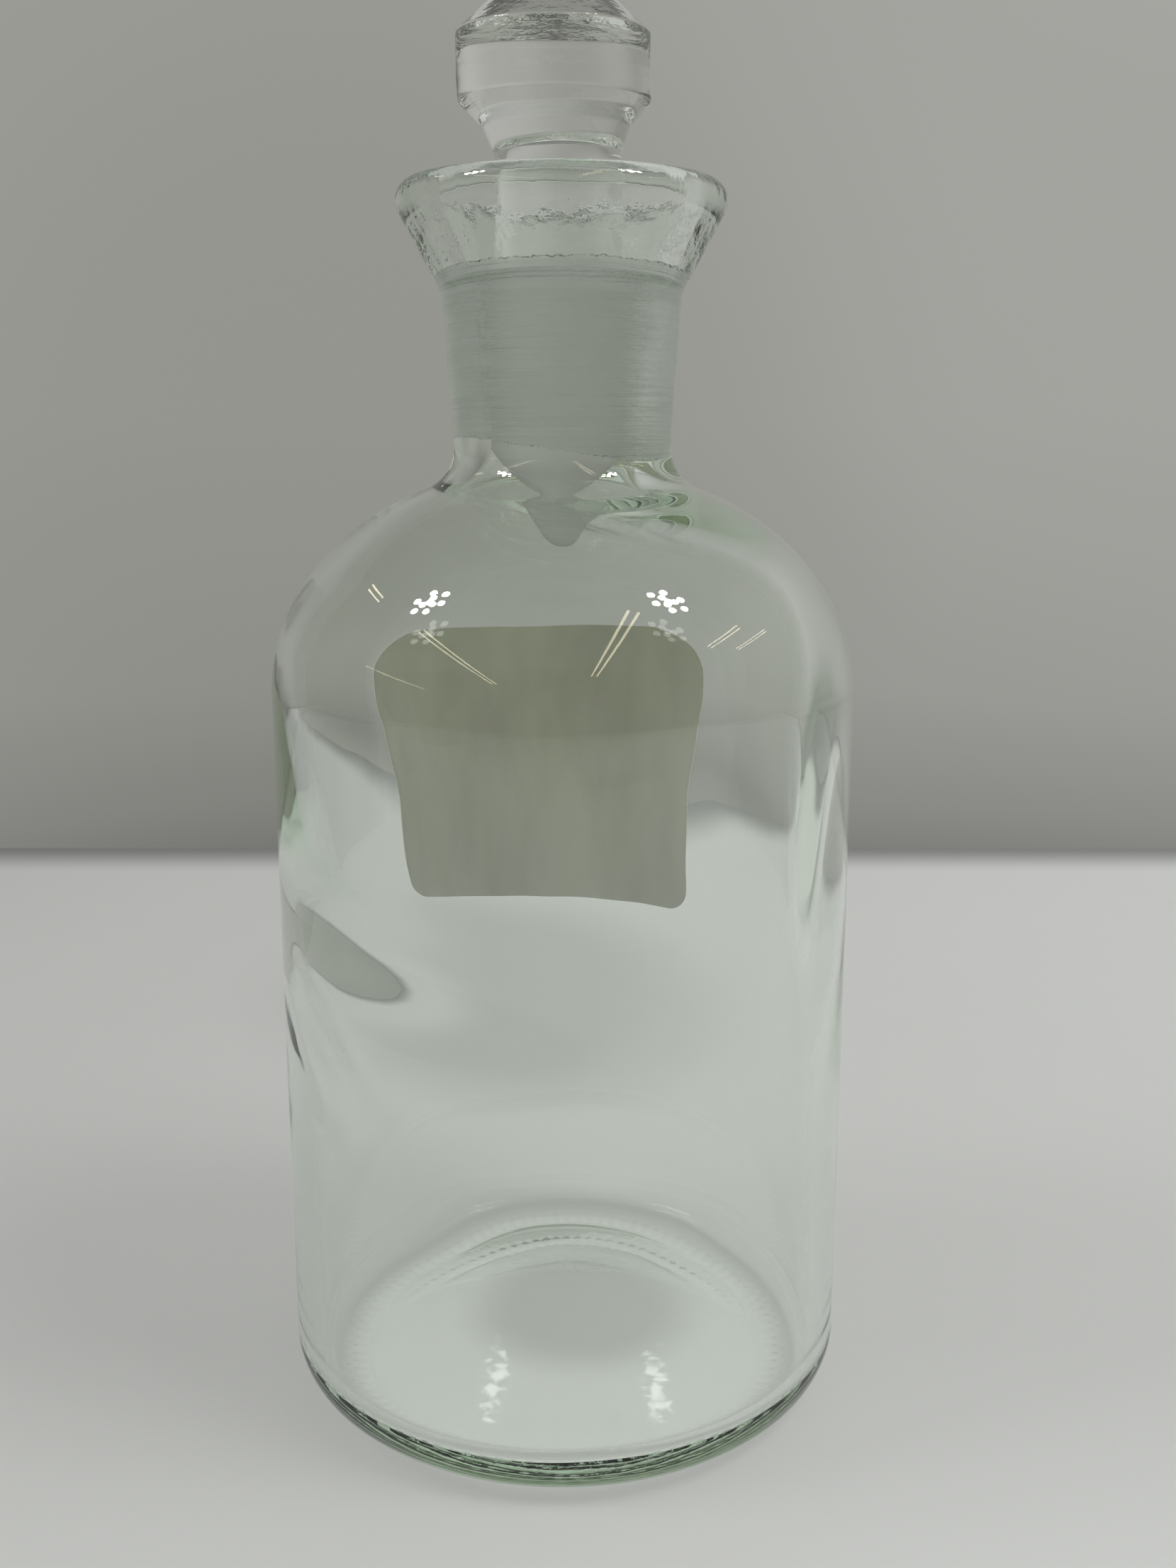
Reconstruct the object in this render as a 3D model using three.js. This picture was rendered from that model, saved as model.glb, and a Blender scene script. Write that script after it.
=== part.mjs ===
// A 300 ml reagent bottle for incubation tests, and the ground glass stopper that closes it.
// Both are solids of revolution about Z. Millimetres, +Z up, and the bottle stands on Z = 0.
import * as THREE from "three";

// Driving dimensions of the bottle.
const BODY_RADIUS = 34.5;
const WALL = 3.3;
const HEEL_RADIUS = 6.4;
const FOOT_WIDTH = 2.5; // flat ring that touches the table
const PUNT_RISE = 2.2; // how far the underside is pushed up at its centre
const FLOOR_HEIGHT = 4.8; // top of the floor at its centre
const FLOOR_CORNER_RADIUS = 3.6;
const FLOOR_DROP = 1.2; // how much lower the floor is at its rim
const SHOULDER_START = 87.1;
const SHOULDER_CENTRE_RADIUS = 2.75; // the shoulder's ellipse is centred just off the axis
const SHOULDER_RISE = 26;
const SHOULDER_SWEEP = 65.5; // degrees of the ellipse before the neck fillet takes over
const NECK_FILLET = 5;
const SHOULDER_WALL = 3.6;
const INNER_SWEEP = 67.5;
const NECK_TOP_RADIUS = 13.8;
const NECK_TOP = 132.7;
const MOUTH_OUTER_RADIUS = 18.75;
const MOUTH_TOP = 144.8;
const RIM_ROUNDING = 1.9;
const FUNNEL_BOTTOM_RADIUS = 10.6;
const FUNNEL_BOTTOM = 134.7;

// The ground joint: a 1 in 10 taper, 19 mm across at its wide end.
const JOINT_TOP_RADIUS = 9.5;
const JOINT_TOP = 134;
const JOINT_BOTTOM = 115.2;
const TAPER_PER_MM = 0.05;
const JOINT_GAP = 0.3;

// Driving dimensions of the stopper.
const TIP_HEIGHT = 104.7;
const TIP_RADIUS = 2.6;
const TIP_HALF_ANGLE = 32; // degrees between the tip's cone and the axis
const PLUG_TOP = 135;
const STEM_RADIUS = 7.15;
const STEM_FILLET = 1.6;
const STEM_TOP = 147.5;
const GRIP_CONE_RADIUS = 8.3;
const GRIP_CONE_TOP = 150.4;
const HEAD_RADIUS = 10.85;
const HEAD_BOTTOM = 153.1;
const HEAD_TOP = 160;
const HEAD_EDGE = 0.5;
const CROWN_RADIUS = 7.1;
const CROWN_HEIGHT = 163.4;
const TOTAL_HEIGHT = 164;

const SEGMENTS = 60; // facets around the axis, the same on both pieces

// Points along a circular or elliptical arc, from one angle to the other, in degrees.
function arc(centreR, centreZ, radiusR, radiusZ, fromAngle, toAngle, steps) {
  const points = [];
  for (let i = 0; i <= steps; i += 1) {
    const angle = THREE.MathUtils.degToRad(fromAngle + ((toAngle - fromAngle) * i) / steps);
    points.push(new THREE.Vector2(centreR + radiusR * Math.cos(angle), centreZ + radiusZ * Math.sin(angle)));
  }
  return points;
}

function point(radius, height) {
  return new THREE.Vector2(radius, height);
}

// A part sphere that meets the axis square, from the axis out to (radius, height).
function shallowDome(centreHeight, radius, height, steps) {
  const sag = centreHeight - height;
  const sphere = (radius * radius + sag * sag) / (2 * sag);
  const sweep = THREE.MathUtils.radToDeg(Math.asin(radius / sphere));
  return arc(0, centreHeight - sphere, sphere, sphere, 90, 90 - sweep, steps);
}

// One side of the shoulder: an elliptical dome, then the fillet that turns it into the neck.
function shoulderCurve(wall, rise, sweep, neckRadius, fillet) {
  const radiusR = BODY_RADIUS - wall - SHOULDER_CENTRE_RADIUS;
  const dome = arc(SHOULDER_CENTRE_RADIUS, SHOULDER_START, radiusR, rise, 0, sweep, 10);
  const end = dome[dome.length - 1];
  const angle = THREE.MathUtils.degToRad(sweep);
  const normal = new THREE.Vector2(Math.cos(angle) / radiusR, Math.sin(angle) / rise).normalize();
  const radius = fillet ?? (end.x - neckRadius) / (1 - normal.x);
  const centre = end.clone().addScaledVector(normal, radius);
  const startAngle = 180 + THREE.MathUtils.radToDeg(normal.angle());
  return [...dome, ...arc(centre.x, centre.y, radius, radius, startAngle, 180, 5).slice(1)];
}

function jointRadius(height) {
  return JOINT_TOP_RADIUS + TAPER_PER_MM * (height - JOINT_TOP);
}

// Turns a half section, listed from the bottom of the axis round its outside to the top, about Z.
function revolve(profile) {
  const geometry = new THREE.LatheGeometry(profile, SEGMENTS);
  geometry.rotateX(Math.PI / 2);
  return geometry;
}

function bottleOutside() {
  const footOuter = BODY_RADIUS - HEEL_RADIUS;
  const footInner = footOuter - FOOT_WIDTH;
  const rimCentre = MOUTH_OUTER_RADIUS - RIM_ROUNDING;
  return [
    ...shallowDome(PUNT_RISE, footInner, 0, 4),
    ...arc(footOuter, HEEL_RADIUS, HEEL_RADIUS, HEEL_RADIUS, -90, 0, 6),
    ...shoulderCurve(0, SHOULDER_RISE, SHOULDER_SWEEP, null, NECK_FILLET),
    point(NECK_TOP_RADIUS, NECK_TOP),
    ...arc(rimCentre, MOUTH_TOP - RIM_ROUNDING, RIM_ROUNDING, RIM_ROUNDING, -30, 180, 7),
  ];
}

function bottleInside() {
  const innerRadius = BODY_RADIUS - WALL;
  const cornerCentre = innerRadius - FLOOR_CORNER_RADIUS;
  const floorEdge = FLOOR_HEIGHT - FLOOR_DROP;
  const floor = shallowDome(FLOOR_HEIGHT, cornerCentre, floorEdge, 3);
  const cornerRadius = FLOOR_CORNER_RADIUS;
  const corner = arc(cornerCentre, floorEdge + cornerRadius, cornerRadius, cornerRadius, -90, 0, 4);
  const boreBottom = jointRadius(JOINT_BOTTOM);
  const upToJoint = shoulderCurve(WALL, SHOULDER_RISE - SHOULDER_WALL, INNER_SWEEP, boreBottom);
  const joint = [point(JOINT_TOP_RADIUS, JOINT_TOP), point(FUNNEL_BOTTOM_RADIUS, FUNNEL_BOTTOM)];
  return [...floor, ...corner.slice(1), ...upToJoint, ...joint].reverse();
}

function bottleGeometry() {
  return revolve([...bottleOutside(), ...bottleInside()]);
}

function stopperGeometry() {
  const plugBottomRadius = jointRadius(JOINT_BOTTOM) - JOINT_GAP;
  const plugTopRadius = jointRadius(PLUG_TOP) - JOINT_GAP;
  const tipAngle = THREE.MathUtils.degToRad(TIP_HALF_ANGLE);
  const tip = arc(0, TIP_HEIGHT + TIP_RADIUS, TIP_RADIUS, TIP_RADIUS, -90, -TIP_HALF_ANGLE, 4);
  const tipEnd = tip[tip.length - 1];
  const coneHeight = (plugBottomRadius - tipEnd.x) / Math.tan(tipAngle);
  const edgeCentre = HEAD_RADIUS - HEAD_EDGE;
  return revolve([
    ...tip,
    point(plugBottomRadius, tipEnd.y + coneHeight),
    point(plugTopRadius, PLUG_TOP),
    ...arc(STEM_RADIUS + STEM_FILLET, PLUG_TOP + STEM_FILLET, STEM_FILLET, STEM_FILLET, -100, -180, 4),
    point(STEM_RADIUS, STEM_TOP),
    point(GRIP_CONE_RADIUS, GRIP_CONE_TOP),
    point(HEAD_RADIUS, HEAD_BOTTOM),
    ...arc(edgeCentre, HEAD_TOP - HEAD_EDGE, HEAD_EDGE, HEAD_EDGE, 0, 60, 2),
    ...shallowDome(TOTAL_HEIGHT, CROWN_RADIUS, CROWN_HEIGHT, 2).reverse(),
  ]);
}

function glass(colour, roughness) {
  return new THREE.MeshStandardMaterial({
    color: colour,
    roughness,
    metalness: 0,
    transparent: true,
    opacity: 0.35,
  });
}

const reagentBottle = new THREE.Group();

const bottle = new THREE.Mesh(bottleGeometry(), glass(0xd9e8df, 0.05));
bottle.name = "bottle";
reagentBottle.add(bottle);

const stopper = new THREE.Mesh(stopperGeometry(), glass(0xeef2ef, 0.05));
stopper.name = "stopper";
reagentBottle.add(stopper);

export default reagentBottle;
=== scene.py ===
import math

import bpy
import numpy as np
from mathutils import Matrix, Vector, noise


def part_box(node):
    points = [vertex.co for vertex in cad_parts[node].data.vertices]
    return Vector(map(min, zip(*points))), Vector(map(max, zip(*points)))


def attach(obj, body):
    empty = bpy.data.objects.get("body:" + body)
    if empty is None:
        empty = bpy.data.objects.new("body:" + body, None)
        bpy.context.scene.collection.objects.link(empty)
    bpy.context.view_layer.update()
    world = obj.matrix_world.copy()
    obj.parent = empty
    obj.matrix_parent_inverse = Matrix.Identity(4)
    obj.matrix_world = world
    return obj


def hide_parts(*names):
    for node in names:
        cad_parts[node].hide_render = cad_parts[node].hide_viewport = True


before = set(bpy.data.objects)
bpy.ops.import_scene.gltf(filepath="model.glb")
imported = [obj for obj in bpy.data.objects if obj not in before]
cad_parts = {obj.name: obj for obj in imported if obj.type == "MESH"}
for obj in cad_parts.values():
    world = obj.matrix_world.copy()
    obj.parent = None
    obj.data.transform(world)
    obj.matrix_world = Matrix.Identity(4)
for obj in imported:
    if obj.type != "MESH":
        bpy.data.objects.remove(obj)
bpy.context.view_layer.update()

# A glass reagent bottle with a ground stopper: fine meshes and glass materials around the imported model.
# Lengths below are in millimetres, as on a drawing, and MM turns them into Blender's metres.
MM = 0.001

# The bottle's outside.
BODY_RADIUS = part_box("bottle")[1].x / MM
MOUTH_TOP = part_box("bottle")[1].z / MM
HEEL_RADIUS = 6.4
FOOT_WIDTH = 2.5
DENTS = 96  # in each row of the foot ring's stipple
DENT_ROWS = (27.4, 29.0)
DENT_DEPTH = 0.16
DENT_REACH = 0.45
PUNT_RISE = 2.2
SHOULDER_START = 87.1
SHOULDER_CENTRE_RADIUS = 2.75
SHOULDER_RISE = 26.0
SHOULDER_SWEEP = 65.5
NECK_FILLET = 5.0
NECK_TOP_RADIUS = 13.8
NECK_TOP = 132.7
NECK_CORNER = 4.0
MOUTH_OUTER_RADIUS = 18.75
RIM_ROUNDING = 2.4

# The bottle's inside.
WALL = 3.3
SHOULDER_WALL = 3.6
INNER_SWEEP = 67.5
FLOOR_HEIGHT = 4.8
FLOOR_CORNER_RADIUS = 3.6
FLOOR_DROP = 1.2
FUNNEL_BOTTOM_RADIUS = 10.6
FUNNEL_BOTTOM = 135.2

# The ground joint.
JOINT_TOP_RADIUS = 9.5
JOINT_TOP = 134.0
JOINT_BOTTOM = 115.2
JOINT_TAPER = 0.05
JOINT_GAP = 0.3
GROUND_TOP = 136.4
JOINT_EDGE_TILT = 1.7  # the ground zone's lower edge is higher on the left than the right by twice this

# The stopper.
TIP_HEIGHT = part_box("stopper")[0].z / MM
TIP_RADIUS = 2.6
TIP_HALF_ANGLE = 32.0
PLUG_TOP = 135.0
STEM_RADIUS = 7.15
STEM_FILLET = 1.6
STEM_TOP = 147.5
GRIP_CONE_RADIUS = 8.3
GRIP_CONE_TOP = 150.4
HEAD_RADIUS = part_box("stopper")[1].x / MM
HEAD_BOTTOM = 153.1
HEAD_TOP = 160.0
HEAD_EDGE = 0.5
CROWN_RADIUS = 7.1
CROWN_HEIGHT = 163.4
HEAD_LEAN = 0.9  # how far left of the plug's axis the head sits
STOPPER_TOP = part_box("stopper")[1].z / MM

# The fired enamel panel on the back of the bottle.
PANEL_HALF_ANGLE = 40.3
PANEL_FLARE = 3.5  # degrees that each side gains towards the top
PANEL_TURN = -8.0  # degrees round from the back, towards the left
PANEL_BOTTOM = 49.0
PANEL_TOP = 94.8
PANEL_CORNER = 3.0
PANEL_TOP_CORNER = 9.0
PANEL_OUT = 0.08
PANEL_IN = 0.10

# The blown wall is thicker in soft rings round it and in three hills.
RING_SPACING = 50
WALL_HILLS = (  # how thick, the angle and height of the middle, half widths, slant in degrees per mm
    (1.15, 232, 62.5, 28, 7, -1.8),
    (0.55, 215, 50, 9, 7, -1.6),
    (0.9, -27, 70, 10, 15, 0.2),
)

GLASS_IOR = 1.52
GROUND_ROUGHNESS = 0.44

BOTTLE_SEGMENTS = 384
STOPPER_SEGMENTS = 192


# ---------------------------------------------------------------- outlines

def arc(centre_r, centre_z, radius_r, radius_z, start, end, steps):
    """Points on an elliptical arc between two angles in degrees, as an array of (radius, height)."""
    angles = np.radians(np.linspace(start, end, steps + 1))
    return np.stack([centre_r + radius_r * np.cos(angles), centre_z + radius_z * np.sin(angles)], 1)


def line(start, end, spacing):
    """Points on a straight line, about spacing apart."""
    steps = max(1, round(math.dist(start, end) / spacing))
    return np.linspace(start, end, steps + 1)


def dome(centre_height, radius, height, steps):
    """A part sphere from the axis out to (radius, height)."""
    sag = centre_height - height
    sphere = (radius * radius + sag * sag) / (2 * sag)
    sweep = math.degrees(math.asin(radius / sphere))
    return arc(0, centre_height - sphere, sphere, sphere, 90, 90 - sweep, steps)


def shoulder(wall, rise, sweep, neck_radius=None, fillet=None, steps=60):
    """One side of the shoulder, from the wall up to the neck: an elliptical dome and a fillet."""
    radius_r = BODY_RADIUS - wall - SHOULDER_CENTRE_RADIUS
    curve = arc(SHOULDER_CENTRE_RADIUS, SHOULDER_START, radius_r, rise, 0, sweep, steps)
    angle = math.radians(sweep)
    normal = np.array([math.cos(angle) / radius_r, math.sin(angle) / rise])
    normal /= np.linalg.norm(normal)
    end = curve[-1]
    radius = fillet or (end[0] - neck_radius) / (1 - normal[0])
    centre = end + normal * radius
    start_angle = 180 + math.degrees(math.atan2(normal[1], normal[0]))
    return np.concatenate([curve, arc(*centre, radius, radius, start_angle, 180, 14)[1:]])


def joint_radius(height):
    return JOINT_TOP_RADIUS + JOINT_TAPER * (height - JOINT_TOP)


def rounded_corner(before, corner, after, radius, steps):
    """The arc that rounds a corner between two straight lines."""
    before, corner, after = (np.array(p, float) for p in (before, corner, after))
    a = (before - corner) / np.linalg.norm(before - corner)
    b = (after - corner) / np.linalg.norm(after - corner)
    half = math.acos(np.clip(a @ b, -1, 1)) / 2
    reach = radius / math.tan(half)
    start, end = corner + a * reach, corner + b * reach
    centre = corner + (a + b) / np.linalg.norm(a + b) * radius / math.sin(half)
    t0 = math.atan2(*(start - centre)[::-1])
    t1 = math.atan2(*(end - centre)[::-1])
    t1 = t0 + (t1 - t0 + math.pi) % (2 * math.pi) - math.pi
    angles = np.linspace(t0, t1, steps + 1)
    return centre + radius * np.stack([np.cos(angles), np.sin(angles)], 1)


def join(*stretches):
    """Joins stretches end to end into one outline, without repeating the points where they meet."""
    points = [stretches[0]]
    for stretch in stretches[1:]:
        same = np.linalg.norm(stretch[0] - points[-1][-1]) < 1e-6
        points.append(stretch[1:] if same else stretch)
    return np.concatenate(points)


# ---------------------------------------------------------------- meshes

def lathe(name, outline, segments, material, shape):
    """A closed solid of revolution. outline runs from the axis round the outside and back to the axis.
    shape takes every ring's radius, height and angle, and returns the points' x, y and z and what to
    keep for the material: how deep each point lies in a ground zone and how strongly it is rippled."""
    inner = outline[1:-1]
    count = len(inner)
    angles = np.linspace(0, 2 * math.pi, segments, endpoint=False)
    radius = np.repeat(inner[:, :1], segments, 1)
    height = np.repeat(inner[:, 1:], segments, 1)
    angle = np.repeat(angles[None], count, 0)
    x, y, z, marks = shape(radius, height, angle)
    rings = np.stack([x, y, z], -1).reshape(-1, 3)
    ends = [[x[k].mean(), y[k].mean(), h] for k, h in ((0, outline[0][1]), (-1, outline[-1][1]))]
    points = np.concatenate([rings, ends]) * MM
    faces = []
    for i in range(segments):
        j = (i + 1) % segments
        faces.append((count * segments, j, i))
        for k in range(count - 1):
            a, b = k * segments, (k + 1) * segments
            faces.append((a + i, a + j, b + j, b + i))
        last = (count - 1) * segments
        faces.append((last + i, last + j, count * segments + 1))
    mesh = bpy.data.meshes.new(name)
    mesh.from_pydata(points.tolist(), [], faces)
    mesh.materials.append(material)
    mesh.polygons.foreach_set("use_smooth", [True] * len(faces))
    for mark, values in marks.items():
        layer = mesh.attributes.new(mark, "FLOAT", "POINT")
        layer.data.foreach_set("value", [*values.ravel(), values[0, 0], values[-1, 0]])
    mesh.update()
    piece = bpy.data.objects.new(name, mesh)
    bpy.context.scene.collection.objects.link(piece)
    return piece


def bump_hill(angle, height, at_angle, at_height, half_angle, half_height, slant, power=2):
    """A smooth hill of height 1 on the wall, with half widths in degrees and millimetres. slant tilts it,
    in degrees for each millimetre of height. A higher power flattens its top and steepens its sides."""
    rise = height - at_height
    turn = (np.degrees(angle) - at_angle - slant * rise + 180) % 360 - 180
    return np.exp(-((turn / half_angle) ** power) - (rise / half_height) ** power)


def ease(values, low, high):
    """0 below low, 1 above high and a smooth step between them."""
    t = np.clip((values - low) / (high - low), 0, 1)
    return t * t * (3 - 2 * t)


def ripple(x, y, z, scale, seed):
    """Smooth noise from -1 to 1 at points given in millimetres, with features about scale across."""
    shift = Vector((seed * 17.3, seed * 5.1, seed * 9.7))
    flat = np.stack([x.ravel(), y.ravel(), z.ravel()], 1) / scale
    values = [noise.noise(Vector(p) + shift) for p in flat]
    return np.array(values).reshape(x.shape)


# ---------------------------------------------------------------- the bottle

def bottle_outline():
    foot_outer = BODY_RADIUS - HEEL_RADIUS
    foot_inner = foot_outer - FOOT_WIDTH
    rim_centre = np.array([MOUTH_OUTER_RADIUS - RIM_ROUNDING, MOUTH_TOP - RIM_ROUNDING])
    heel = arc(foot_outer, HEEL_RADIUS, HEEL_RADIUS, HEEL_RADIUS, -90, 0, 24)
    outer_shoulder = shoulder(0, SHOULDER_RISE, SHOULDER_SWEEP, fillet=NECK_FILLET)
    rim = arc(*rim_centre, RIM_ROUNDING, RIM_ROUNDING, -28, 180, 28)
    neck_corner = rounded_corner(outer_shoulder[-1], (NECK_TOP_RADIUS, NECK_TOP), rim[0], NECK_CORNER, 8)
    inner_radius = BODY_RADIUS - WALL
    corner_r = inner_radius - FLOOR_CORNER_RADIUS
    floor_edge = FLOOR_HEIGHT - FLOOR_DROP
    corner_radius = FLOOR_CORNER_RADIUS
    corner = arc(corner_r, floor_edge + corner_radius, corner_radius, corner_radius, 0, -90, 18)
    inner_rise = SHOULDER_RISE - SHOULDER_WALL
    inner_shoulder = shoulder(WALL, inner_rise, INNER_SWEEP, joint_radius(JOINT_BOTTOM))[::-1]
    joint_top = (JOINT_TOP_RADIUS, JOINT_TOP)
    funnel_bottom = (FUNNEL_BOTTOM_RADIUS, FUNNEL_BOTTOM)
    ledge = rounded_corner(rim[-1], funnel_bottom, joint_top, 0.5, 4)
    return join(
        dome(PUNT_RISE, foot_inner, 0, 30),
        line((foot_inner, 0), (foot_outer, 0), 0.4),
        heel,
        line(heel[-1], outer_shoulder[0], 1.4),
        outer_shoulder,
        line(outer_shoulder[-1], neck_corner[0], 1.4),
        neck_corner,
        line(neck_corner[-1], rim[0], 0.9),
        rim,
        line(rim[-1], ledge[0], 0.7),
        ledge,
        line(ledge[-1], joint_top, 0.5),
        line(joint_top, inner_shoulder[0], 1.1),
        inner_shoulder,
        line(inner_shoulder[-1], corner[0], 1.1),
        corner,
        dome(FLOOR_HEIGHT, corner_r, floor_edge, 30)[::-1],
    )


def shape_bottle(outline):
    """Gives the blown inside its uneven wall, the mouth its ripples and the foot ring its stipple."""
    rim_top = int(np.argmax(outline[1:-1, 1]))
    foot_outer = BODY_RADIUS - HEEL_RADIUS

    def shape(radius, height, angle):
        x, y = radius * np.cos(angle), radius * np.sin(angle)
        inside = np.arange(len(radius))[:, None] > rim_top
        below_joint = inside & (height < JOINT_BOTTOM + 6)
        # The wall is thicker in slow waves, fading out at the joint and on the floor.
        wall = ease(height, 10, 38) * (1 - ease(height, JOINT_BOTTOM - 22, JOINT_BOTTOM - 4))
        rings = 0.62 - 0.85 * bump_hill(angle, 0, -3, 0, 45, 1, 0, power=4)
        rings = rings * ease(height, 22 + 26 * bump_hill(angle, 0, 185, 0, 40, 1, 0), 56)
        middle = 63 + 4 * bump_hill(angle, 0, 185, 0, 50, 1, 0)
        waves = rings * np.cos((height - middle) * 2 * math.pi / RING_SPACING)
        waves += 0.20 * ripple(x, y, height, 26.0, 1) + 0.006 * ripple(x, y, height, 3.5, 2)
        for thickness, *hill in WALL_HILLS:
            waves += thickness * bump_hill(angle, height, *hill)
        # Just below the joint the inside has fine rings from the blowing.
        below_neck = ease(height, 95, 101) * (1 - ease(height, JOINT_BOTTOM - 4, JOINT_BOTTOM - 2))
        fine_rings = 0.02 * ripple(x * 0.3, y * 0.3, height, 2.4, 8) * below_neck
        radius = radius - np.where(below_joint, wall * waves + fine_rings, 0)
        # The floor's top is slightly wavy.
        floor = inside & (height < 6)
        level = 0.04 * ripple(x, y, height, 6.0, 3) + 0.15 * ripple(x, y, height, 22.0, 4)
        height = height + np.where(floor, level * np.clip(radius / 4, 0, 1), 0)
        # The mouth is rippled from pressing, most of all inside the funnel.
        funnel = inside & (height > FUNNEL_BOTTOM) & (height < MOUTH_TOP - 1.2)
        hammered = 0.07 * ripple(x, y, height * 0.45, 1.3, 5) + 0.10 * ripple(x, y, height, 4.0, 6)
        fade = np.clip((height - FUNNEL_BOTTOM) / 2, 0, 1) * np.clip((MOUTH_TOP - 1.2 - height) / 2, 0, 1)
        radius = radius - np.where(funnel, fade * hammered, 0)
        # The ground zone's lower edge was ground on a slant.
        near_edge = ease(height, JOINT_BOTTOM - 16, JOINT_BOTTOM)
        near_edge = near_edge * (1 - ease(height, JOINT_BOTTOM, JOINT_BOTTOM + 6))
        slant = -JOINT_EDGE_TILT * np.cos(angle) * near_edge
        height = height + np.where(below_joint, slant, 0)
        # Two rows of small dents in the ring that the bottle stands on.
        dents = np.zeros_like(height)
        for row, turn in ((DENT_ROWS[0], 0), (DENT_ROWS[1], 0.5)):
            dot = np.clip(np.cos(angle * DENTS + turn * 2 * math.pi), 0, 1)
            dents += dot * np.exp(-(((radius - row) / DENT_REACH) ** 2))
        height = height + np.where(~inside & (height < 1), DENT_DEPTH * dents, 0)
        # The outside is almost true: moulding leaves only very slow waves.
        outside = 0.04 * ripple(x, y, height, 24.0, 7)
        radius = radius + np.where(inside | (height < HEEL_RADIUS), 0, outside - 0.04)
        # The joint is ground from its slanted lower edge to just above its top.
        ground = np.minimum(height - (JOINT_BOTTOM + slant), GROUND_TOP - height)
        marks = {
            "ground": np.where(inside, np.clip(ground, -3, 3), -3),
            "hammered": np.where(funnel, fade, 0) + np.where(floor, 0.08, 0),
        }
        return radius * np.cos(angle), radius * np.sin(angle), height, marks

    return shape


def make_bottle():
    outline = bottle_outline()
    material = glass("bottle_glass", (0.984, 1, 0.986), (0.70, 0.94, 0.70), 15.0, ripple_depth=0.02)
    piece = lathe("bottle_body", outline, BOTTLE_SEGMENTS, material, shape_bottle(outline))
    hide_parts("bottle")
    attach(piece, "bottle")


# ---------------------------------------------------------------- the stopper

def stopper_outline():
    plug_bottom = joint_radius(JOINT_BOTTOM) - JOINT_GAP
    plug_top = joint_radius(PLUG_TOP) - JOINT_GAP
    tip = arc(0, TIP_HEIGHT + TIP_RADIUS, TIP_RADIUS, TIP_RADIUS, -90, -TIP_HALF_ANGLE, 14)
    cone_height = (plug_bottom - tip[-1][0]) / math.tan(math.radians(TIP_HALF_ANGLE))
    plug_start = (plug_bottom, tip[-1][1] + cone_height)
    plug_end = (plug_top, PLUG_TOP)
    fillet_centre = (STEM_RADIUS + STEM_FILLET, PLUG_TOP + STEM_FILLET)
    fillet = arc(*fillet_centre, STEM_FILLET, STEM_FILLET, -100, -180, 12)
    stem_top = (STEM_RADIUS, STEM_TOP)
    cone_top = (GRIP_CONE_RADIUS, GRIP_CONE_TOP)
    head_bottom = (HEAD_RADIUS, HEAD_BOTTOM)
    head_top = (HEAD_RADIUS, HEAD_TOP)
    crown = (CROWN_RADIUS, CROWN_HEIGHT)
    stem_bend = rounded_corner(fillet[-1], stem_top, cone_top, 3.0, 6)
    cone_bend = rounded_corner(stem_top, cone_top, head_bottom, 1.5, 4)
    bottom_bend = rounded_corner(cone_top, head_bottom, head_top, 0.8, 6)
    top_bend = rounded_corner(head_bottom, head_top, crown, HEAD_EDGE, 6)
    crown_bend = rounded_corner(head_top, crown, (0, STOPPER_TOP), 0.6, 4)
    crown_dome = dome(STOPPER_TOP, crown_bend[-1][0], crown_bend[-1][1], 10)[::-1]
    return join(
        tip,
        line(tip[-1], plug_start, 0.6),
        line(plug_start, plug_end, 1.0),
        fillet,
        line(fillet[-1], stem_bend[0], 0.8),
        stem_bend,
        line(stem_bend[-1], cone_bend[0], 0.6),
        cone_bend,
        line(cone_bend[-1], bottom_bend[0], 0.5),
        bottom_bend,
        line(bottom_bend[-1], top_bend[0], 0.5),
        top_bend,
        line(top_bend[-1], crown_bend[0], 0.4),
        crown_bend,
        crown_dome,
    )


def shape_stopper(radius, height, angle):
    """The pressed head sits a little off the ground plug's axis, and its upper chamfer is mottled."""
    x, y = radius * np.cos(angle), radius * np.sin(angle)
    slow = 0.05 * ripple(x, y, height, 6.0, 11)
    chamfer = np.clip((height - HEAD_TOP + 0.6) / 0.8, 0, 1) * np.clip(radius / 3, 0, 1)
    mottled = 0.07 * ripple(x, y, height, 1.6, 12) * chamfer
    free = np.clip((height - PLUG_TOP) / 3, 0, 1) + np.clip((JOINT_BOTTOM - 0.5 - height) / 3, 0, 1)
    radius = radius + np.minimum(slow - 0.05, 0) * free * np.clip(radius / 3, 0, 1) - np.abs(mottled)
    lean = -HEAD_LEAN * np.clip((height - PLUG_TOP) / 20, 0, 1) ** 1.5
    ground = PLUG_TOP + 0.3 - height
    marks = {"ground": np.clip(ground, -3, 3), "hammered": chamfer}
    return radius * np.cos(angle) + lean, radius * np.sin(angle), height, marks


def make_stopper():
    material = glass("stopper_glass", (1, 1, 1), (0.90, 0.95, 0.86), 10.0, ripple_depth=0.05)
    piece = lathe("glass_stopper", stopper_outline(), STOPPER_SEGMENTS, material, shape_stopper)
    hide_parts("stopper")
    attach(piece, "stopper")


# ---------------------------------------------------------------- the enamel panel

def corner_inset(distance, radius):
    """How far a rounded corner draws a panel's side in, at a distance from its end."""
    return radius - np.sqrt(radius**2 - np.clip(radius - distance, 0, None) ** 2)


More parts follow.
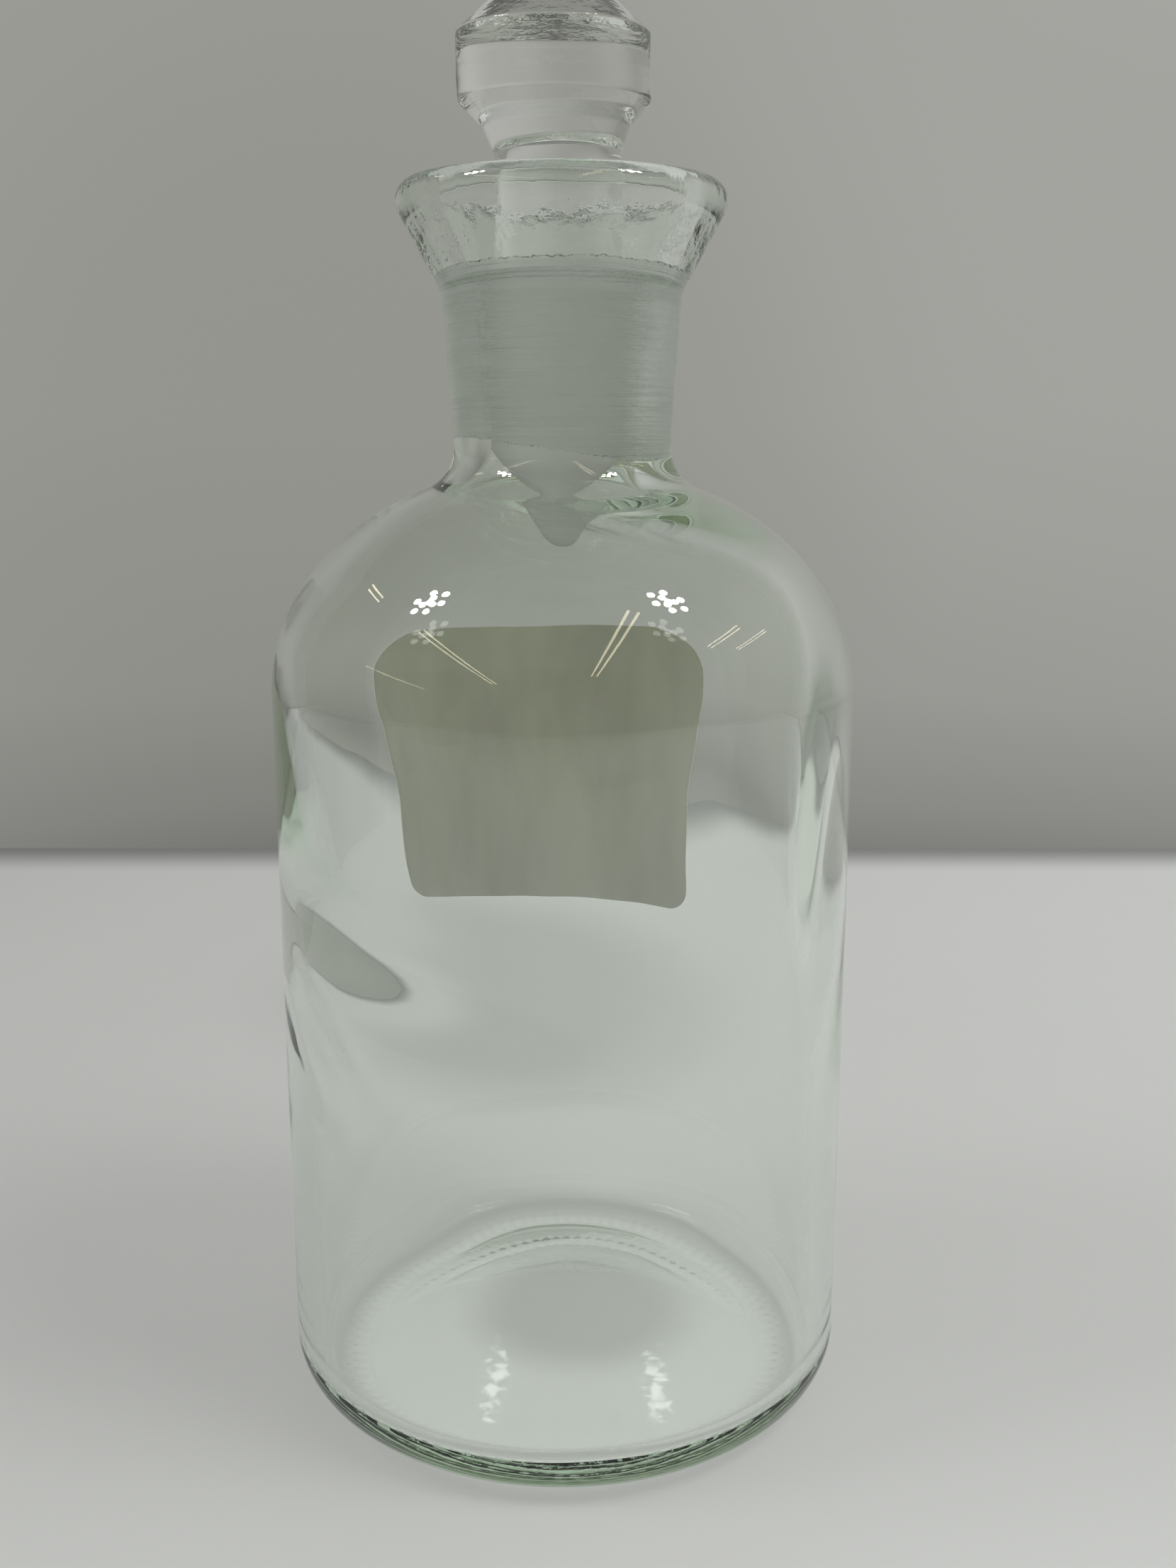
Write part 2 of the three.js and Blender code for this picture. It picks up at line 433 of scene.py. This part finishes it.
def make_panel():
    """A thin fired film on the back wall, sunk into the glass so that light passes straight into it."""
    columns, rows = 56, 48
    rise = (1 - np.cos(np.linspace(0, math.pi, rows + 1))) / 2
    heights = PANEL_BOTTOM + (PANEL_TOP - PANEL_BOTTOM) * rise
    outside = shoulder(0, SHOULDER_RISE, SHOULDER_SWEEP, fillet=NECK_FILLET)
    walls = np.interp(heights, outside[:, 1], outside[:, 0])
    flare = PANEL_FLARE * np.clip((heights - 66) / 16, 0, 1)
    half_width = np.radians(PANEL_HALF_ANGLE + flare) * BODY_RADIUS
    half_width -= corner_inset(heights - PANEL_BOTTOM, PANEL_CORNER)
    half_width -= corner_inset(PANEL_TOP - heights, PANEL_TOP_CORNER)
    across = np.linspace(-1, 1, columns + 1)
    points = []
    for stand in (-PANEL_IN, PANEL_OUT):
        for height, wall, width in zip(heights, walls, half_width):
            turn = across * width / BODY_RADIUS + math.radians(PANEL_TURN)
            radius = wall + stand
            ring = np.stack([radius * np.sin(turn), radius * np.cos(turn), np.full_like(turn, height)], 1)
            points.append(ring)
    points = np.concatenate(points) * MM
    layer = (rows + 1) * (columns + 1)
    faces = []

    def vertex(side, row, column):
        return side * layer + row * (columns + 1) + column

    for row in range(rows):
        for column in range(columns):
            corners = [(row, column), (row, column + 1), (row + 1, column + 1), (row + 1, column)]
            faces.append([vertex(0, *c) for c in corners])
            faces.append([vertex(1, *c) for c in reversed(corners)])
    around = [(0, c) for c in range(columns)] + [(r, columns) for r in range(rows)]
    around += [(rows, c) for c in range(columns, 0, -1)] + [(r, 0) for r in range(rows, 0, -1)]
    for here, there in zip(around, around[1:] + around[:1]):
        faces.append([vertex(0, *there), vertex(0, *here), vertex(1, *here), vertex(1, *there)])
    mesh = bpy.data.meshes.new("marking_panel")
    mesh.from_pydata(points.tolist(), [], faces)
    mesh.materials.append(enamel("marking_enamel"))
    mesh.polygons.foreach_set("use_smooth", [True] * len(faces))
    mesh.update()
    piece = bpy.data.objects.new("marking_panel", mesh)
    bpy.context.scene.collection.objects.link(piece)
    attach(piece, "bottle")


# ---------------------------------------------------------------- materials

def new_material(name):
    material = bpy.data.materials.new(name)
    material.use_nodes = True
    tree = material.node_tree
    return material, tree, tree.nodes["Principled BSDF"]


def add_noise(tree, scale, stretch=(1, 1, 1), detail=3.0):
    """Noise from 0 to 1 in the object's own coordinates, in features per metre."""
    place = tree.nodes.new("ShaderNodeTexCoord")
    mapping = tree.nodes.new("ShaderNodeMapping")
    mapping.inputs["Scale"].default_value = stretch
    texture = tree.nodes.new("ShaderNodeTexNoise")
    texture.inputs["Scale"].default_value = scale
    texture.inputs["Detail"].default_value = detail
    tree.links.new(place.outputs["Object"], mapping.inputs["Vector"])
    tree.links.new(mapping.outputs["Vector"], texture.inputs["Vector"])
    return texture.outputs["Fac"]


def add_math(tree, operation, *values):
    """A maths node whose inputs are numbers or other nodes' outputs."""
    node = tree.nodes.new("ShaderNodeMath")
    node.operation = operation
    for socket, value in zip(node.inputs, values):
        if isinstance(value, (int, float)):
            socket.default_value = value
        else:
            tree.links.new(value, socket)
    return node.outputs["Value"]


def add_vector_math(tree, operation, value, constant=None):
    """A vector maths node on another node's output and, where it takes one, a constant."""
    node = tree.nodes.new("ShaderNodeVectorMath")
    node.operation = operation
    tree.links.new(value, node.inputs[0])
    if constant is not None:
        node.inputs[1].default_value = constant
    return node.outputs["Value" if operation in ("LENGTH", "DISTANCE", "DOT_PRODUCT") else "Vector"]


def add_scaled(tree, colour, factor):
    """A colour made lighter or darker by another node's output."""
    node = tree.nodes.new("ShaderNodeVectorMath")
    node.operation = "SCALE"
    tree.links.new(colour, node.inputs[0])
    tree.links.new(factor, node.inputs["Scale"])
    return node.outputs["Vector"]


def add_mark(tree, name):
    """How far into a ground or hammered zone a point of the mesh lies."""
    node = tree.nodes.new("ShaderNodeAttribute")
    node.attribute_name = name
    return node.outputs["Fac"]


def add_range(tree, value, low, high, to_low, to_high, smooth=False):
    """Maps low to high onto to_low to to_high, and holds the ends beyond them."""
    node = tree.nodes.new("ShaderNodeMapRange")
    if smooth:
        node.interpolation_type = "SMOOTHSTEP"
    for name, number in zip(("From Min", "From Max", "To Min", "To Max"), (low, high, to_low, to_high)):
        node.inputs[name].default_value = number
    tree.links.new(value, node.inputs["Value"])
    return node.outputs["Result"]


def add_bump(tree, shader, height, depth):
    bump = tree.nodes.new("ShaderNodeBump")
    bump.inputs["Strength"].default_value = 1.0
    bump.inputs["Distance"].default_value = depth
    tree.links.new(height, bump.inputs["Height"])
    tree.links.new(bump.outputs["Normal"], shader.inputs["Normal"])


def glass(name, tint, absorbs, density, ripple_depth):
    """Clear glass with the faint ripple of a moulded surface. Where the mesh is marked as ground, the
    glass is frosted, with the grinding lines round the joint, and where it is marked as hammered the
    ripple is deep. One material covers both, because the glass body's absorption goes with it."""
    material, tree, shader = new_material(name)
    shader.inputs["Base Color"].default_value = (*tint, 1)
    shader.inputs["IOR"].default_value = GLASS_IOR
    shader.inputs["Transmission Weight"].default_value = 1.0
    volume = tree.nodes.new("ShaderNodeVolumeAbsorption")
    volume.inputs["Color"].default_value = (*absorbs, 1)
    volume.inputs["Density"].default_value = density
    tree.links.new(volume.outputs["Volume"], tree.nodes["Material Output"].inputs["Volume"])

    ragged = add_range(tree, add_noise(tree, 900.0, detail=4.0), 0, 1, -0.5, 0.5)
    edge = add_math(tree, "ADD", add_mark(tree, "ground"), ragged)
    ground = add_range(tree, edge, -0.08, 0.08, 0, 1, smooth=True)
    lines = add_noise(tree, 1.0, stretch=(40, 40, 3500), detail=4.0)
    blotches = add_noise(tree, 160.0, detail=3.0)
    frost = add_range(tree, add_math(tree, "ADD", lines, blotches), 0.7, 1.3, GROUND_ROUGHNESS - 0.1,
                      GROUND_ROUGHNESS + 0.1)
    tree.links.new(add_math(tree, "MULTIPLY", ground, frost), shader.inputs["Roughness"])

    moulded = add_math(tree, "MULTIPLY", add_noise(tree, 70.0, detail=2.0), ripple_depth)
    pressed = add_math(tree, "MULTIPLY", add_noise(tree, 700.0, detail=3.0), add_mark(tree, "hammered"))
    ground_lines = add_math(tree, "MULTIPLY", lines, ground)
    height = add_math(tree, "MULTIPLY_ADD", pressed, 0.12, moulded)
    height = add_math(tree, "MULTIPLY_ADD", ground_lines, 0.16, height)
    add_bump(tree, shader, height, 0.001)
    return material


def enamel(name):
    """Pale fired enamel with faint clouding, a satin skin and a faint painted glow."""
    material, tree, shader = new_material(name)
    place = tree.nodes.new("ShaderNodeTexCoord")
    split = tree.nodes.new("ShaderNodeSeparateXYZ")
    tree.links.new(place.outputs["Object"], split.inputs[0])
    height = add_range(tree, split.outputs["Z"], PANEL_BOTTOM * MM, PANEL_TOP * MM, 0, 0.75)
    cloud = add_noise(tree, 60.0, stretch=(2, 2, 0.7), detail=6.0)
    ramp = tree.nodes.new("ShaderNodeValToRGB")
    ramp.color_ramp.elements[0].position = 0.45
    ramp.color_ramp.elements[0].color = (1.0, 0.96, 0.90, 1)
    ramp.color_ramp.elements[1].position = 1.0
    ramp.color_ramp.elements[1].color = (0.94, 0.92, 0.74, 1)
    tree.links.new(add_math(tree, "MULTIPLY_ADD", cloud, 0.9, height), ramp.inputs["Fac"])
    veil = add_range(tree, add_noise(tree, 45.0, stretch=(2, 2, 0.6), detail=4.0), 0.35, 0.62, 0.8, 1.0)
    tree.links.new(add_scaled(tree, ramp.outputs["Color"], veil), shader.inputs["Base Color"])
    shader.inputs["Roughness"].default_value = 0.5
    # Painted light: a faint even glow stands in for the light behind that the film lets through.
    shader.inputs["Emission Color"].default_value = (1, 0.93, 0.82, 1)
    shader.inputs["Emission Strength"].default_value = 0.03
    add_bump(tree, shader, add_noise(tree, 1500.0), 0.00003)
    return material


# ---------------------------------------------------------------- stage, light and camera

TABLE_BACK = 0.252  # the table ends this far behind the bottle
TABLE_HALF_WIDTH = 0.75
TABLE_FRONT = -0.75
TABLE_THICKNESS = 0.03
# Light and shade painted on the table as glow, in metres and in strengths of glow.
TABLE_GLOW = (0.16, 0.28)  # from left to right
FRONT_GLOW = 0.16  # painted light, more towards the front
POOL_GLOW = 0.22  # a painted pool of light under the bottle
POOL_EDGE = (0.024, 0.033)  # the radii that the pool of light fades between
# The pool's middle is weaker: painted shade under the bottle's centre.
POOL_MIDDLE = (0.002, 0.007, 0)
POOL_MIDDLE_EDGE = (0.009, 0.019)
POOL_MIDDLE_SHARE = 0.35  # of the pool's light that its middle gets
SHADE_PLACE = (-0.01, 0.14, 0)  # a painted shadow behind the bottle
SHADE_EDGE = (0.015, 0.07)
SHADE_DEPTH = 0.10
# Two painted streaks of light on the table under the bottle.
STREAK_GLOW = 0.30
STREAK_CENTRES = ((-0.0086, -0.0105, 0), (0.0112, -0.0115, 0))
STREAK_HALF_SIZE = (0.0015, 0.0085)

CAMERA_PLACE = Vector((0.00296, -0.19416, 0.1190))
CAMERA_PITCH = 12.69
CAMERA_LENS = 37.53


def add_painted_streak(tree, place, centre):
    """A thin wavering line of painted light on the table, like those thick glass throws: 1 along its
    middle, 0 round it.
    """
    across, along = STREAK_HALF_SIZE
    offset = add_vector_math(tree, "SUBTRACT", place, centre)
    reach = add_vector_math(tree, "MULTIPLY", offset, (1 / across, 1 / along, 0))
    reach = add_vector_math(tree, "LENGTH", reach)
    wavering = add_range(tree, add_noise(tree, 600.0, detail=5.0), 0.3, 0.7, -0.8, 0.9)
    return add_range(tree, add_math(tree, "ADD", reach, wavering), 0.1, 1.0, 1, 0, smooth=True)


def painted_table_light(tree, place, x, y):
    """How brightly each place on the table shines: painted light and shade, that is the room's light,
    lighter to the right and front, and a pool, streaks and a shadow painted round the bottle.
    """
    # Painted light: a pool under the bottle, weaker in its middle, where the bottle would gather light
    # onto the table.
    pool = add_range(tree, add_vector_math(tree, "LENGTH", place), *POOL_EDGE, POOL_GLOW, 0, smooth=True)
    from_middle = add_vector_math(tree, "DISTANCE", place, POOL_MIDDLE)
    middle = add_range(tree, from_middle, *POOL_MIDDLE_EDGE, POOL_MIDDLE_SHARE, 1, smooth=True)
    pool = add_math(tree, "MULTIPLY", pool, middle)
    for centre in STREAK_CENTRES:
        pool = add_math(tree, "MULTIPLY_ADD", add_painted_streak(tree, place, centre), STREAK_GLOW, pool)
    # Painted room light, lighter to the right and towards the front.
    side = add_range(tree, x, -0.2, 0.2, *TABLE_GLOW)
    front = add_range(tree, y, -0.15, 0, FRONT_GLOW, 0)
    # Painted shadow behind the bottle.
    from_shade = add_vector_math(tree, "DISTANCE", place, SHADE_PLACE)
    shade = add_range(tree, from_shade, *SHADE_EDGE, -SHADE_DEPTH, 0, smooth=True)
    room = add_math(tree, "ADD", side, front)
    return add_math(tree, "ADD", add_math(tree, "ADD", pool, room), shade)


def make_table():
    """The pale bench top, a thin slab that darkens towards its far and near edges and has light and shade
    painted into its glow.
    """
    half = TABLE_HALF_WIDTH
    low, high = -TABLE_THICKNESS, 0.0
    corners = [(-half, TABLE_FRONT), (half, TABLE_FRONT), (half, TABLE_BACK), (-half, TABLE_BACK)]
    points = [(x, y, z) for z in (low, high) for x, y in corners]
    faces = [(3, 2, 1, 0), (4, 5, 6, 7), (0, 1, 5, 4), (1, 2, 6, 5), (2, 3, 7, 6), (3, 0, 4, 7)]
    mesh = bpy.data.meshes.new("table")
    mesh.from_pydata(points, [], faces)
    material, tree, shader = new_material("table")
    ramp = tree.nodes.new("ShaderNodeValToRGB")
    ramp.color_ramp.elements[0].color = (0.56, 0.57, 0.565, 1)
    ramp.color_ramp.elements[1].color = (0.62, 0.63, 0.63, 1)
    tree.links.new(add_noise(tree, 6.0, detail=5.0), ramp.inputs["Fac"])
    shader.inputs["Roughness"].default_value = 0.55
    place = tree.nodes.new("ShaderNodeTexCoord").outputs["Object"]
    split = tree.nodes.new("ShaderNodeSeparateXYZ")
    tree.links.new(place, split.inputs[0])
    x, y = split.outputs["X"], split.outputs["Y"]
    # Painted shade: darker towards the far edge, where the table meets the wall, and also darker towards
    # the near edge.
    fade = add_range(tree, y, TABLE_BACK - 0.026, TABLE_BACK, 1, 0.35, smooth=True)
    near = add_range(tree, y, TABLE_FRONT, TABLE_FRONT + 0.4, 0.45, 1, smooth=True)
    fade = add_math(tree, "MULTIPLY", fade, near)
    tree.links.new(add_scaled(tree, ramp.outputs["Color"], fade), shader.inputs["Base Color"])
    # The table's emission is painted light and shade.
    shader.inputs["Emission Color"].default_value = (1, 1.01, 0.99, 1)
    glow = add_math(tree, "MULTIPLY", painted_table_light(tree, place, x, y), fade)
    tree.links.new(glow, shader.inputs["Emission Strength"])
    mesh.materials.append(material)
    table = bpy.data.objects.new("table", mesh)
    bpy.context.scene.collection.objects.link(table)


# How bright the room is in each direction, from straight down at 0 to straight up at 1.
ROOM_LEVELS = [
    (0.0, 0.03), (0.26, 0.04), (0.295, 0.10), (0.325, 0.27), (0.355, 0.26), (0.37, 0.20), (0.385, 0.25),
    (0.42, 0.31), (0.5, 0.34), (0.62, 0.34), (0.74, 0.29), (0.86, 0.20), (1.0, 0.15),
]
# Soft patches of the room: where, how much brighter or darker, and the cosines they fade between.
ROOM_PATCHES = [
    ((-0.14, 0.98, -0.02), -0.04, 0.93, 1.0),
    ((-0.90, 0.35, 0.35), -0.08, 0.80, 0.97),
    ((-0.95, -0.10, -0.05), 0.04, 0.60, 0.95),
    ((0.90, 0.20, 0.0), 0.12, 0.60, 0.95),
    ((0.50, 0.82, 0.25), 0.03, 0.80, 0.97),
    ((0.35, 0.50, 0.80), 0.12, 0.70, 0.97),
]


def make_world():
    """A grey room, darker overhead and below the table, and darker on the left than on the right."""
    world = bpy.data.worlds.new("room")
    bpy.context.scene.world = world
    world.use_nodes = True
    tree = world.node_tree
    direction = tree.nodes.new("ShaderNodeTexCoord").outputs["Generated"]
    split = tree.nodes.new("ShaderNodeSeparateXYZ")
    tree.links.new(direction, split.inputs["Vector"])
    ramp = tree.nodes.new("ShaderNodeValToRGB")
    while len(ramp.color_ramp.elements) < len(ROOM_LEVELS):
        ramp.color_ramp.elements.new(0.5)
    for element, (position, level) in zip(ramp.color_ramp.elements, ROOM_LEVELS):
        element.position = position
        element.color = (level, level * 1.005, level * 0.935, 1)
    tree.links.new(add_range(tree, split.outputs["Z"], -1, 1, 0, 1), ramp.inputs["Fac"])
    colour = ramp.outputs["Color"]
    for towards, level, outer, inner in ROOM_PATCHES:
        cosine = add_vector_math(tree, "DOT_PRODUCT", direction, Vector(towards).normalized())
        patch = add_range(tree, cosine, outer, inner, 0, level, smooth=True)
        add = tree.nodes.new("ShaderNodeVectorMath")
        add.operation = "ADD"
        tree.links.new(colour, add.inputs[0])
        tree.links.new(patch, add.inputs[1])
        colour = add.outputs["Vector"]
    tree.links.new(colour, tree.nodes["Background"].inputs["Color"])


def add_lamp(name, place, target, shape, size, radiance, colour, length=None):
    """An area lamp of a given brightness per area, aimed at a point."""
    data = bpy.data.lights.new(name, "AREA")
    data.shape = shape
    data.size = size
    area = math.pi * size * size / 4
    if length:
        data.size_y = length
        area = size * length
    data.energy = radiance * math.pi * area
    data.color = colour
    lamp = bpy.data.objects.new(name, data)
    lamp.location = place
    lamp.rotation_euler = (Vector(target) - Vector(place)).to_track_quat("-Z", "Y").to_euler()
    bpy.context.scene.collection.objects.link(lamp)
    return lamp


def lamp_cluster(name, centre, spread, bulb, radiance):
    """A ceiling lamp of ten small round bulbs: one in the middle, three round it, six outside."""
    aim = centre.normalized()
    side = aim.cross(Vector((0, 1, 0))).normalized()
    up = side.cross(aim)
    rings = [(1, 0.0, 0), (3, 0.38, 20), (6, 0.9, 0)]
    for ring, (count, reach, start) in enumerate(rings):
        for k in range(count):
            angle = math.radians(start + 360 * k / count)
            place = centre + (side * math.cos(angle) * 1.2 + up * math.sin(angle) * 0.8) * reach * spread
            bulb_name = f"{name}_{ring}_{k}"
            lamp = add_lamp(bulb_name, place, (0, 0, 0.1), "DISK", bulb, radiance, (1.0, 0.99, 0.96))
            lamp.visible_diffuse = False


LAMP_PLACES = (Vector((-0.575, -0.115, 0.783)), Vector((0.476, -0.194, 0.839)))
CLUSTER_SPREAD = 0.085
BULB_SIZE = 0.042
BULB_RADIANCE = 40
SOFT_LAMP_SIZE = 0.4
SOFT_LAMP_RADIANCES = (2.2, 4.4)  # the soft light that goes with each cluster
CEILING = 1.4
STRIP_WIDTH = 0.03
STRIP_SPACING = 0.1  # between the two tubes of a strip
STRIP_RADIANCE = 9
# Ceiling strips run along Y: where each one is, and where it starts and ends.
CEILING_STRIPS = [
    (-4.2, -3.1, -0.5), (-1.6, 0.35, 0.75), (-1.5, -3.1, -0.6), (0.59, -2.6, -0.6), (1.93, -0.85, -0.1),
    (2.53, -0.53, 0.37),
]


def make_lights():
    """Two lamps, each a cluster seen as highlights and a soft disc that lights the table, and strips."""
    for name, place, glow in zip(("lamp_left", "lamp_right"), LAMP_PLACES, SOFT_LAMP_RADIANCES):
        lamp_cluster(name, place, CLUSTER_SPREAD, BULB_SIZE, BULB_RADIANCE)
        soft = add_lamp(f"{name}_soft", place, (0, 0, 0.05), "DISK", SOFT_LAMP_SIZE, glow, (1, 1, 0.97))
        soft.visible_glossy = False
        soft.visible_transmission = False
    for k, (x, near, far) in enumerate(CEILING_STRIPS):
        for side in (-1, 1):
            middle = Vector((x + STRIP_SPACING / 2 * side, (near + far) / 2, CEILING))
            below = middle - Vector((0, 0, 1))
            lamp = add_lamp(f"strip_{k}_{side}", middle, below, "RECTANGLE", STRIP_WIDTH, STRIP_RADIANCE,
                            (1.0, 0.9, 0.62), far - near)
            lamp.visible_diffuse = False
            lamp.visible_transmission = False


def make_camera():
    data = bpy.data.cameras.new("camera")
    data.lens = CAMERA_LENS
    data.clip_start = 0.005
    camera = bpy.data.objects.new("camera", data)
    camera.location = CAMERA_PLACE
    camera.rotation_euler = (math.radians(90 - CAMERA_PITCH), 0, 0)
    bpy.context.scene.collection.objects.link(camera)
    bpy.context.scene.camera = camera


make_camera()
make_bottle()
make_stopper()
make_panel()
make_table()
make_world()
make_lights()
bpy.context.scene.view_settings.view_transform = "Standard"
bpy.context.scene.cycles.max_bounces = 32
bpy.context.scene.cycles.transmission_bounces = 32
bpy.context.scene.cycles.glossy_bounces = 12
bpy.context.scene.cycles.sample_clamp_indirect = 3.0
